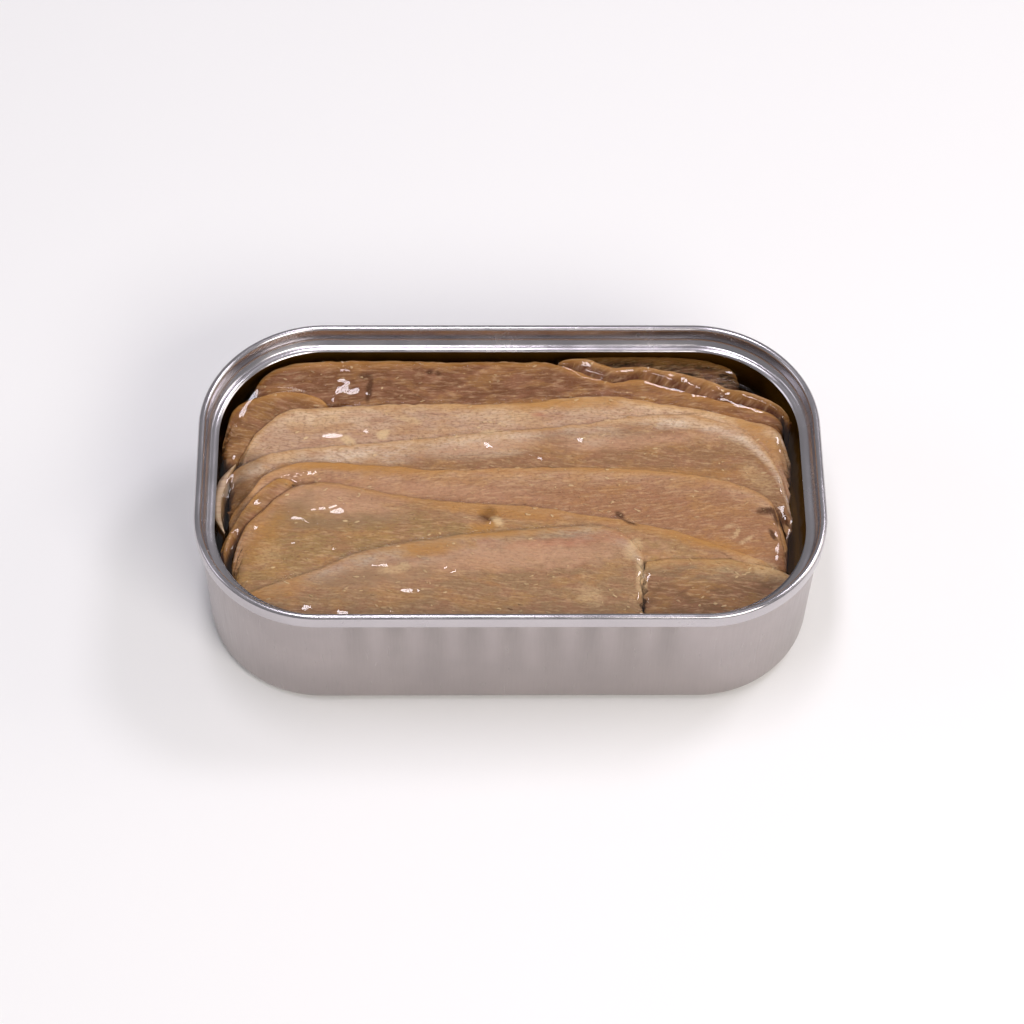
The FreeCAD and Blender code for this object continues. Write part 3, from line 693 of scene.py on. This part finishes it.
def crumbed(piece, seed):
    """Scatters crumbs over a fillet and leaves them in its mesh."""
    modifier = piece.modifiers.new("crumbs", "NODES")
    modifier.node_group = crumb_nodes
    values = {
        "Per square metre": 260000.0, "Size": 0.22 * mm, "Lowest": 20.9 * mm, "Patch": 4.0 * mm, "Seed": seed,
        "Material": flesh,
    }
    for item in crumb_nodes.interface.items_tree:
        if item.item_type == "SOCKET" and item.in_out == "INPUT" and item.name in values:
            modifier[item.identifier] = values[item.name]
    mesh = bpy.data.meshes.new_from_object(piece.evaluated_get(bpy.context.evaluated_depsgraph_get()))
    piece.modifiers.clear()
    piece.data = mesh


skin_count, ring_step, end_length = 46, 0.33, 0.06
weights = basis(np.linspace(0, 1, 160))


def slab_rings(crest, lean, front, front_lean, fall, ragged, blunt, seed):
    """Rings of points round a slab's sections, closer together at its ends, and each point's way down from the
    crest, in millimetres."""
    left, right = crest[0][0], crest[-1][0]
    ease = np.linspace(-1, 1, int((right - left) * inner_length / ring_step))
    rings, across = [], []
    for x in left + (right - left) * (0.5 + 0.5 * (0.9 * ease + 0.1 * ease ** 5)):
        # The section's corners: it grows narrower and lower towards a rounded end
        y_back, drop_back = along(crest, x)
        y_front, drop_front = along(front, x)
        end = max(min(x - left, right - x, end_length), 0) / end_length
        size = blunt + (1 - blunt) * math.sqrt(1 - (1 - end) ** 2)
        crest_top = ring_top - drop_back
        top = fish_floor + (crest_top - fish_floor) * (0.85 + 0.15 * size)
        foot = min(top - 0.35 * fall, ring_top - drop_front - 0.5)
        back_y = y_back * inner_width - lean * (crest_top - top)
        front_y = y_front * inner_width + fish_gap - front_lean * (ring_top - drop_front - foot)
        inward = max(back_y - front_y, thin_end) * (1 - size) / 2
        back_y -= inward
        front_y = min(front_y + inward, back_y - thin_end)
        place = x * inner_length
        coarse = grain(np.array(place / 2.6), np.array(seed * 1.7), seed)
        fine = grain(np.array(place / 0.9), np.array(seed * 2.3), seed)
        back_y += float(ragged * (coarse + 0.6 * fine))
        width = back_y - front_y
        front_foot = front_y - front_lean * (foot - fish_floor)
        back_foot = max(back_y - lean * (top - fish_floor), front_foot + thin_end)
        crest_foot = top - crest_round
        waist = back_foot + (back_y - back_foot) * (crest_foot - fish_floor) / (top - fish_floor)

        # The ring: the skin over the crest and down the top, the front, the base and the back
        poles = np.array([
            (waist, crest_foot), (back_y, top), (back_y - min(crest_round, 0.3 * width), top),
            (back_y - 0.55 * width, top - 0.35 * (top - foot)), (front_y, foot),
        ])
        curve = weights @ poles
        run = np.concatenate([[0], np.cumsum(np.hypot(*np.diff(curve, axis=0).T))])
        even = np.linspace(0, run[-1], skin_count)
        skin = np.stack([np.interp(even, run, curve[:, k]) for k in (0, 1)], 1)
        down = np.linspace(0, 1, 7)[1:]
        toe = np.stack([front_y + (front_foot - front_y) * down, foot + (fish_floor - foot) * down], 1)
        base = np.stack([front_foot + (back_foot - front_foot) * down[:-1], np.full(5, fish_floor)], 1)
        up = np.linspace(0, 1, 8)[:-1]
        heel = np.stack([back_foot + (waist - back_foot) * up, fish_floor + (crest_foot - fish_floor) * up], 1)
        ring = np.concatenate([skin, toe, base, heel])
        rings.append(np.column_stack([np.full(len(ring), place), ring]))
        across.append(np.concatenate([even, np.full(len(ring) - skin_count, even[-1])]))
    return np.array(rings), np.array(across)


def grained(smooth, across, seed, slant, torn):
    """A slab's rings with swells, fibre bundles and lifted flakes raised along the normals of its top and its ends
    frayed, and the places of its points along and across the fibres, in millimetres."""
    angle = math.radians(slant)
    x = smooth[..., 0]
    y = -smooth[..., 1] + 0.6 * grain(x / 11, across / 6, seed + 3)
    u = x * math.cos(angle) + y * math.sin(angle)
    v = y * math.cos(angle) - x * math.sin(angle)
    bundles = 0.09 * grain(u / 7, v / 1.5, seed) + 0.06 * grain(u / 3.5, v / 0.62, seed + 1)
    swells = 0.14 * grain(x / 9, across / 4.5, seed + 2)
    layer = v / 2.3 + 0.9 * grain(u / 5, v / 4, seed + 4)
    loose = np.clip(0.3 + 1.2 * grain(u / 4.5, v / 3, seed + 5), 0, 1)
    lift = (layer - np.floor(layer)) ** 3 * torn * loose
    fuzz = 0.05 * grain(u / 0.9, v / 0.5, seed + 6)
    on_top = np.arange(smooth.shape[1]) < skin_count + 3
    height = (bundles + swells + lift + fuzz) * (0.25 + 0.75 * np.clip(across / 1.4, 0, 1)) * on_top
    normal = np.cross(np.gradient(smooth, axis=0), np.gradient(smooth, axis=1))
    normal /= np.maximum(np.linalg.norm(normal, axis=2, keepdims=True), 1e-9)
    if normal[len(smooth) // 2, skin_count // 2, 2] < 0:
        normal = -normal
    grid = kept_inside(smooth + normal * height[..., None])
    for side, ahead in ((1, grid[..., 0] - grid[:1, :, 0]), (-1, grid[-1:, :, 0] - grid[..., 0])):
        coarse = grain(across / 0.9, across * 0 + side, seed)
        fine = grain(across / 0.35, across * 0 + side, seed)
        grid[..., 0] += side * 0.5 * np.exp(-ahead / 1.5) * (1 + coarse + 0.5 * fine)
    return grid, u, v


def capped(grid, seed):
    """Points and faces of a slab: its rings, and at each end the last ring drawn in to its middle in steps, as a
    rough cut face."""
    count, ring_size = grid.shape[:2]
    after = [(b + 1) % ring_size for b in range(ring_size)]
    points, faces = [grid.reshape(-1, 3)], []
    for a in range(0, (count - 1) * ring_size, ring_size):
        faces += [(a + b, a + c, a + ring_size + c, a + ring_size + b) for b, c in enumerate(after)]
    total = count * ring_size
    for rim, start, outwards in ((grid[0], 0, -1), (grid[-1], total - ring_size, 1)):
        middle = rim.mean(0)
        outer = range(start, start + ring_size)
        for n, share in enumerate((0.86, 0.62, 0.34)):
            inner = middle + (rim - middle) * share
            rough = 0.12 * grain(inner[:, 1] / 0.7, inner[:, 2] / 1.6, seed + n)
            inner[:, 0] += outwards * (0.35 * (1 - share ** 2) + rough)
            points.append(kept_inside(inner))
            ids = range(total, total + ring_size)
            faces += [(outer[b], outer[c], ids[c], ids[b])[::outwards] for b, c in enumerate(after)]
            outer = ids
            total += ring_size
        points.append(kept_inside(middle + np.array([outwards * 0.3, 0, 0]))[None])
        faces += [(outer[b], outer[c], total)[::outwards] for b, c in enumerate(after)]
        total += 1
    return np.concatenate(points), faces


def painted(mesh, points, x, across, u, v, tones, seed):
    """Gives a slab's mesh what its material follows: the fibres as a UV map in millimetres, and at each point how
    near it is to the crest's edge, its tone and the marks."""
    full_u = np.concatenate([u.ravel(), points[u.size:, 1]])
    full_v = np.concatenate([v.ravel(), points[u.size:, 2]])
    corners = np.empty(len(mesh.loops), int)
    mesh.loops.foreach_get("vertex_index", corners)
    fibre = mesh.uv_layers.new(name="fibre")
    fibre.data.foreach_set("uv", np.stack([full_u[corners], full_v[corners]], 1).ravel())
    edge = np.exp(-(np.maximum(across - 0.6, 0) / (1.1 + 0.5 * grain(x / 5, x * 0 + seed, seed + 7))) ** 2)
    edge = (edge * (np.arange(across.shape[1]) < skin_count)).ravel()
    edge = np.concatenate([edge, np.zeros(len(points) - edge.size)])
    mesh.attributes.new("crest", "FLOAT", "POINT").data.foreach_set("value", edge)
    top_tone, flank_tone = (np.array(linear(code)) for code in tones)
    share = np.clip((across - 1.0) / 4.0 + 0.5 * grain(x / 7, across / 2.5, seed + 9), 0, 1)[..., None]
    tone = (top_tone * (1 - share) + flank_tone * share).reshape(-1, 4)
    tone = np.concatenate([tone, np.repeat(flank_tone[None], len(points) - len(tone), 0)])
    mesh.attributes.new("flesh", "FLOAT_COLOR", "POINT").data.foreach_set("color", tone.ravel())
    wobble = [0.35 * grain(points[:, 0] / 1.6, points[:, 1] / 1.1, n) for n in (3, 8)]
    for kind, spots in marks.items():
        field = np.zeros(len(points))
        for middle_x, middle_y, half_long, half_wide, turn, strength in spots:
            a = math.radians(turn)
            dx, dy = points[:, 0] - middle_x, points[:, 1] - middle_y
            p = (dx * math.cos(a) + dy * math.sin(a)) / half_long
            q = (dy * math.cos(a) - dx * math.sin(a)) / half_wide
            far = np.hypot(p + wobble[0], q + wobble[1])
            field = np.maximum(field, strength * np.clip(1.5 - far, 0, 1))
        mesh.attributes.new(kind, "FLOAT", "POINT").data.foreach_set("value", field)


def fillet(node, crest, lean, front, front_lean, fall, tones, seed, slant, ragged=0.16, torn=0.2, blunt=0.72):
    """One fillet as a closed mesh, between its own crest and the crest in front of it. tones are the colours at
    its crest and on its flank, seed picks its grain, slant is the fibres' angle to its length in degrees, ragged and
    torn the depth of its frayed crest and lifted flakes, blunt how wide its ends are cut."""
    smooth, across = slab_rings(crest, lean, front, front_lean, fall, ragged, blunt, seed)
    grid, u, v = grained(smooth, across, seed, slant, torn)
    points, faces = capped(grid, seed)
    mesh = bpy.data.meshes.new(node)
    mesh.from_pydata((points * mm).tolist(), [], faces)
    outward(mesh)
    mesh.polygons.foreach_set("use_smooth", [True] * len(mesh.polygons))
    painted(mesh, points, smooth[..., 0], across, u, v, tones, seed)
    piece = bpy.data.objects.new(node + "_flesh", mesh)
    bpy.context.collection.objects.link(piece)
    mesh.materials.append(flesh)
    crumbed(piece, seed)
    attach(piece, "root")
    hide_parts(node)
    return piece


front_crests = front_crest + front_right_crest
corner_front = [(-0.955, 0.19, 2.8)] + second_crest
back_front = corner_crest[2:] + second_crest[4:]
laid = [
    fillet("fillet_front", front_crest, 0.42, front_wall, 0, 1.6, ("bcb2b0", "9c8269"), 1, 6, ragged=0.1, torn=0.14,
           blunt=0.93),
    fillet("fillet_front_right", front_right_crest, 0.42, front_wall, 0, 1.3, ("b09f88", "7c5d45"), 2, 3, torn=0.12,
           blunt=0.98),
    fillet("fillet_fifth", fifth_crest, 0.4, front_crests, 0.42, 1.7, ("b08e76", "a18761"), 3, 4),
    fillet("flake_left", flake_crest, 0.4, flake_front, 0.4, 1.0, ("967345", "773f0e"), 4, 10),
    fillet("fillet_fourth", fourth_crest, 0.4, flake_crest + fifth_crest[5:], 0.4, 1.7, ("c3a391", "a67d63"), 5, -5,
           torn=0.24),
    fillet("fillet_third", third_crest, 0.35, fourth_crest, 0.4, 1.7, ("e4d6d2", "97755a"), 6, 5, torn=0.3),
    fillet("fillet_second", second_crest, 0.2, third_crest, 0.35, 1.6, ("e6d2c2", "c6aba0"), 7, 2),
    fillet("fillet_corner_left", corner_crest, 0.2, corner_front, 0.2, 1.4, ("81552d", "79522c"), 8, 12),
    fillet("fillet_back", back_crest, 0.1, back_front, 0.2, 1.6, ("774a2b", "714629"), 9, -2),
    fillet("fillet_back_right", back_right_crest, 0.05, back_crest, 0.1, 1.4, ("5c2e12", "52280e"), 10, -20,
           ragged=0.1, torn=0.1),
    # The sunk fillet's near-black tones are painted shade: it lies deep in the oil, in the shade under the ring's
    # ledge at the back
    fillet("fillet_sunk", sunk_crest, 0.0, back_right_crest, 0.05, 0.6, ("201404", "150c03"), 11, -8),
]

# ---------------------------------------------------------------------------------------------------------------
# Flap. A thin pale strip of belly skin that stands on edge against the left wall, where it was pushed in beside the
# slabs.
# ---------------------------------------------------------------------------------------------------------------
flap_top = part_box("flap_left")[1].z / mm
flap_depth = 6.5
outer_bow = [(-0.90, 0.17), (-0.965, -0.08), (-0.925, -0.32)]
inner_bow = [(-0.90, 0.17), (-0.935, -0.08), (-0.925, -0.32)]


def bowed(points, n):
    """Point n of a bow through three plan points, 0 to 1."""
    a, b, c = [np.array(p) for p in points]
    middle = 2 * b - (a + c) / 2
    return a * (1 - n) ** 2 + 2 * middle * n * (1 - n) + c * n ** 2


rows, stations = 24, 60
points, faces = [], []
for a in range(stations + 1):
    n = a / stations
    outer, inner = (bowed(b, n) * (inner_length, inner_width) for b in (outer_bow, inner_bow))
    bow = math.sin(math.pi * min(max(n, 0.02), 0.98))
    for b in range(2 * rows):
        side, h = (outer, b / (rows - 1)) if b < rows else (inner, (2 * rows - 1 - b) / (rows - 1))
        sway = 0.18 * float(grain(np.array(n * 9), np.array(h * 3.0), 5))
        lean_out = -0.5 * (h - 0.5) * bow
        z = flap_top - flap_depth + flap_depth * h * (0.9 + 0.1 * bow ** 0.4)
        points.append(((side[0] + sway * bow + lean_out) * mm, side[1] * mm, z * mm))
for a in range(0, stations * 2 * rows, 2 * rows):
    for b in range(2 * rows):
        c = (b + 1) % (2 * rows)
        faces.append((a + b, a + c, a + 2 * rows + c, a + 2 * rows + b))
faces += [tuple(range(2 * rows)), tuple(range(stations * 2 * rows, (stations + 1) * 2 * rows))]
flap_mesh = bpy.data.meshes.new("flap")
flap_mesh.from_pydata(points, [], faces)
outward(flap_mesh)
flap_mesh.polygons.foreach_set("use_smooth", [True] * len(flap_mesh.polygons))
places = np.array(points) / mm
corners = np.empty(len(flap_mesh.loops), int)
flap_mesh.loops.foreach_get("vertex_index", corners)
flap_mesh.uv_layers.new(name="fibre").data.foreach_set("uv", places[corners][:, [1, 2]].ravel())
tone = np.array([linear("78603e")] * len(points))
paleness = np.clip((places[:, 2] - 20.5) / 2, 0, 0.4)
flap_mesh.attributes.new("flesh", "FLOAT_COLOR", "POINT").data.foreach_set("color", tone.ravel())
flap_mesh.attributes.new("pale", "FLOAT", "POINT").data.foreach_set("value", paleness)
flap = bpy.data.objects.new("flap_skin", flap_mesh)
bpy.context.collection.objects.link(flap)
flap_mesh.materials.append(flesh)
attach(flap, "root")
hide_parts("flap_left")

# ---------------------------------------------------------------------------------------------------------------
# Oil. Clear golden olive oil up to its level, drawn up over the fillets as a thin film with a curved edge wherever
# flesh or metal stands out of it. Along some ridges of flesh it stands in low straight-sided beads that catch the
# light.
# ---------------------------------------------------------------------------------------------------------------
oil_drop, oil_clearance, film, soft_edge = 3.2, 0.15, 0.10, 0.35
oil_level = ring_top - oil_drop
oil_inset = -body_wall + sheet / 2 + oil_clearance + wall_taper * (seam_foot - oil_level) / seam_foot
half_x, half_y, radius = tin_length / 2 - oil_inset, tin_width / 2 - oil_inset, corner_radius - oil_inset

# Highest point of the fish over each cell of a grid
cell = 0.3
cells_x, cells_y = int(2 * half_x / cell) + 3, int(2 * half_y / cell) + 3
heights = np.full((cells_x, cells_y), fish_floor)
for piece in laid + [flap]:
    cloud = np.empty(len(piece.data.vertices) * 3)
    piece.data.vertices.foreach_get("co", cloud)
    cloud = cloud.reshape(-1, 3) / mm
    i = np.clip(np.rint((cloud[:, 0] + half_x) / cell).astype(int) + 1, 0, cells_x - 1)
    j = np.clip(np.rint((cloud[:, 1] + half_y) / cell).astype(int) + 1, 0, cells_y - 1)
    np.maximum.at(heights, (i, j), cloud[:, 2])


def spread(field, way):
    """Each cell's highest or mean value over itself and its neighbours."""
    padded = np.pad(field, 1, mode="edge")
    around = [padded[a:a + field.shape[0], b:b + field.shape[1]] for a in range(3) for b in range(3)]
    return way(around, axis=0)


# Empty cells are filled from their neighbours, then the film is smoothed over the flesh and levelled off between
sunk_level = oil_level - 2.0
heights = np.where(heights < sunk_level, np.minimum(spread(heights, np.max), sunk_level), heights)
covered = spread(heights, np.max)
soft = covered
for _ in range(4):
    soft = spread(soft, np.mean)
soft = np.maximum(soft, heights + 0.2 * (covered - heights))
for _ in range(2):
    soft = spread(soft, np.mean)
rise = soft + film - oil_level
surface = oil_level + 0.5 * (rise + np.sqrt(rise ** 2 + soft_edge ** 2))


def sampled(field, x, y):
    """Value of a grid field at x, y in millimetres, between its cells."""
    a = np.clip((x + half_x) / cell + 1, 0, cells_x - 1.001)
    b = np.clip((y + half_y) / cell + 1, 0, cells_y - 1.001)
    i, j = a.astype(int), b.astype(int)
    a, b = a - i, b - j
    near = field[i, j] * (1 - a) + field[i + 1, j] * a
    far = field[i, j + 1] * (1 - a) + field[i + 1, j + 1] * a
    return near * (1 - b) + far * b


# Beads, in millimetres: both ends, half width, slope of the sides, and 1 to follow the flesh or 0 to lie straight
beads = [
    (-47.4, 12.9, -42.8, 21.6, 1.1, 0.41, 0), (8.5, 26.2, 16.3, 22.9, 0.75, 0.33, 1),
    (21.7, 24.1, 36.8, 19.2, 0.6, 0.33, 1), (38.8, 21.1, 47.0, 16.4, 0.75, 0.33, 1),
    (34.2, 26.3, 41.0, 23.9, 0.6, 0.33, 1), (-32.3, 25.8, -20.2, 26.3, 0.45, 0.33, 1),
    (-29.6, 24.5, -27.0, 24.2, 0.28, 0.3, 1), (-25.8, 24.3, -23.8, 24.4, 0.24, 0.3, 1),
    (-38.0, -5.1, -26.7, -4.1, 0.5, 0.33, 1), (-39.5, 1.7, -32.9, 3.1, 0.4, 0.33, 1),
    (-23.7, -16.5, -19.7, -16.3, 0.5, 0.33, 1),
]
skirt_slope = 2.5

# The surface on a finer grid that follows the wall's outline: the film, its rise at the wall, a faint ripple, beads
columns, lines = 420, 230
y = np.linspace(-half_y, half_y, lines)
bend = np.maximum(np.abs(y) - (half_y - radius), 0)
row_half = half_x - radius + np.sqrt(np.maximum(radius ** 2 - bend ** 2, 0))
x = np.linspace(-1, 1, columns)[:, None] * row_half[None]
y = np.repeat(y[None], columns, 0)
edge_x = np.maximum(np.abs(x) - (half_x - radius), 0)
edge_y = np.maximum(np.abs(y) - (half_y - radius), 0)
to_wall = np.maximum(radius - np.hypot(edge_x, edge_y), 0)
z = sampled(surface, x, y) + 0.45 * np.exp(-to_wall / 0.55) + 0.025 * grain(x / 1.3, y / 1.0, 21)
run = np.linspace(0, 1, 40)
for x0, y0, x1, y1, bead, slope, loose in beads:
    length = math.hypot(x1 - x0, y1 - y0)
    way_x, way_y = (x1 - x0) / length, (y1 - y0) / length
    part = ((x - x0) * (x1 - x0) + (y - y0) * (y1 - y0)) / length
    side = ((x - x0) * (y1 - y0) - (y - y0) * (x1 - x0)) / length
    side = side + loose * 0.25 * grain(part / 2.4, part * 0 + x0, 4)
    uneven = 1 + loose * (0.3 * grain(part / 1.7, part * 0 + y0, 9) - 0.2)
    width = bead * uneven * np.sqrt(np.clip(1 - (2 * part / length - 1) ** 4, 0, 1))
    below = np.array([
        sampled(surface, x0 + (x1 - x0) * run + way_y * off, y0 + (y1 - y0) * run - way_x * off)
        for off in (-0.5 * bead, 0, 0.5 * bead)
    ])
    held = np.polyfit(run * length, below[1], 1) * (loose, 1)
    held[1] += np.percentile(below - np.polyval(held, run * length), 80)
    past = np.abs(side) - width
    tent = np.polyval(held, part) - np.where(past > 0, skirt_slope, slope) * past
    z = np.where(width > 0, np.maximum(z, tent), z)

# A closed solid: the surface, a wall down from its rim, and a foot that lies hidden among the fish
foot_height, foot_share = 8.0, 0.985
top = np.stack([x, y, z], 2).reshape(-1, 3)
faces = []
for i in range(columns - 1):
    for j in range(lines - 1):
        a = i * lines + j
        faces.append((a, a + lines, a + lines + 1, a + 1))
rim = [i * lines for i in range(columns)] + [(columns - 1) * lines + j for j in range(1, lines)]
rim += [i * lines + lines - 1 for i in range(columns - 2, -1, -1)] + list(range(lines - 2, 0, -1))
foot = top[rim] * (foot_share, foot_share, 0) + (0, 0, foot_height)
points = np.concatenate([top, foot])
count, loop = len(top), len(rim)
faces += [(rim[n], count + n, count + (n + 1) % loop, rim[(n + 1) % loop]) for n in range(loop)]
faces.append(tuple(range(count, count + loop)))
oil_mesh = bpy.data.meshes.new("oil")
oil_mesh.from_pydata((points * mm).tolist(), [], faces)
outward(oil_mesh)
oil_mesh.polygons.foreach_set("use_smooth", [True] * len(oil_mesh.polygons))
oil = bpy.data.objects.new("oil_surface", oil_mesh)
bpy.context.collection.objects.link(oil)

# Olive oil: clear and faintly golden, its surface a smooth mirror that shows at a slant or against a bright lamp
olive_oil = bpy.data.materials.new("olive_oil")
olive_oil.use_nodes = True
tree = olive_oil.node_tree
tree.nodes.remove(tree.nodes["Principled BSDF"])
clear = add(tree, "ShaderNodeBsdfTransparent", Color=linear("faf3e4")).outputs[0]
mirror = add(tree, "ShaderNodeBsdfGlossy", Color=(1, 1, 1, 1), Roughness=0.04).outputs[0]
inside = add(tree, "ShaderNodeNewGeometry").outputs["Backfacing"]
from_above = add(tree, "ShaderNodeMath", {"operation": "SUBTRACT"}, i0=1.0, i1=inside).outputs[0]
share = add(tree, "ShaderNodeFresnel", IOR=1.47).outputs[0]
share = add(tree, "ShaderNodeMath", {"operation": "MULTIPLY"}, i0=share, i1=from_above).outputs[0]
both = add(tree, "ShaderNodeMixShader", i0=share, i1=clear, i2=mirror).outputs[0]
tree.links.new(both, tree.nodes["Material Output"].inputs["Surface"])
oil_mesh.materials.append(olive_oil)
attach(oil, "root")
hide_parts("oil")
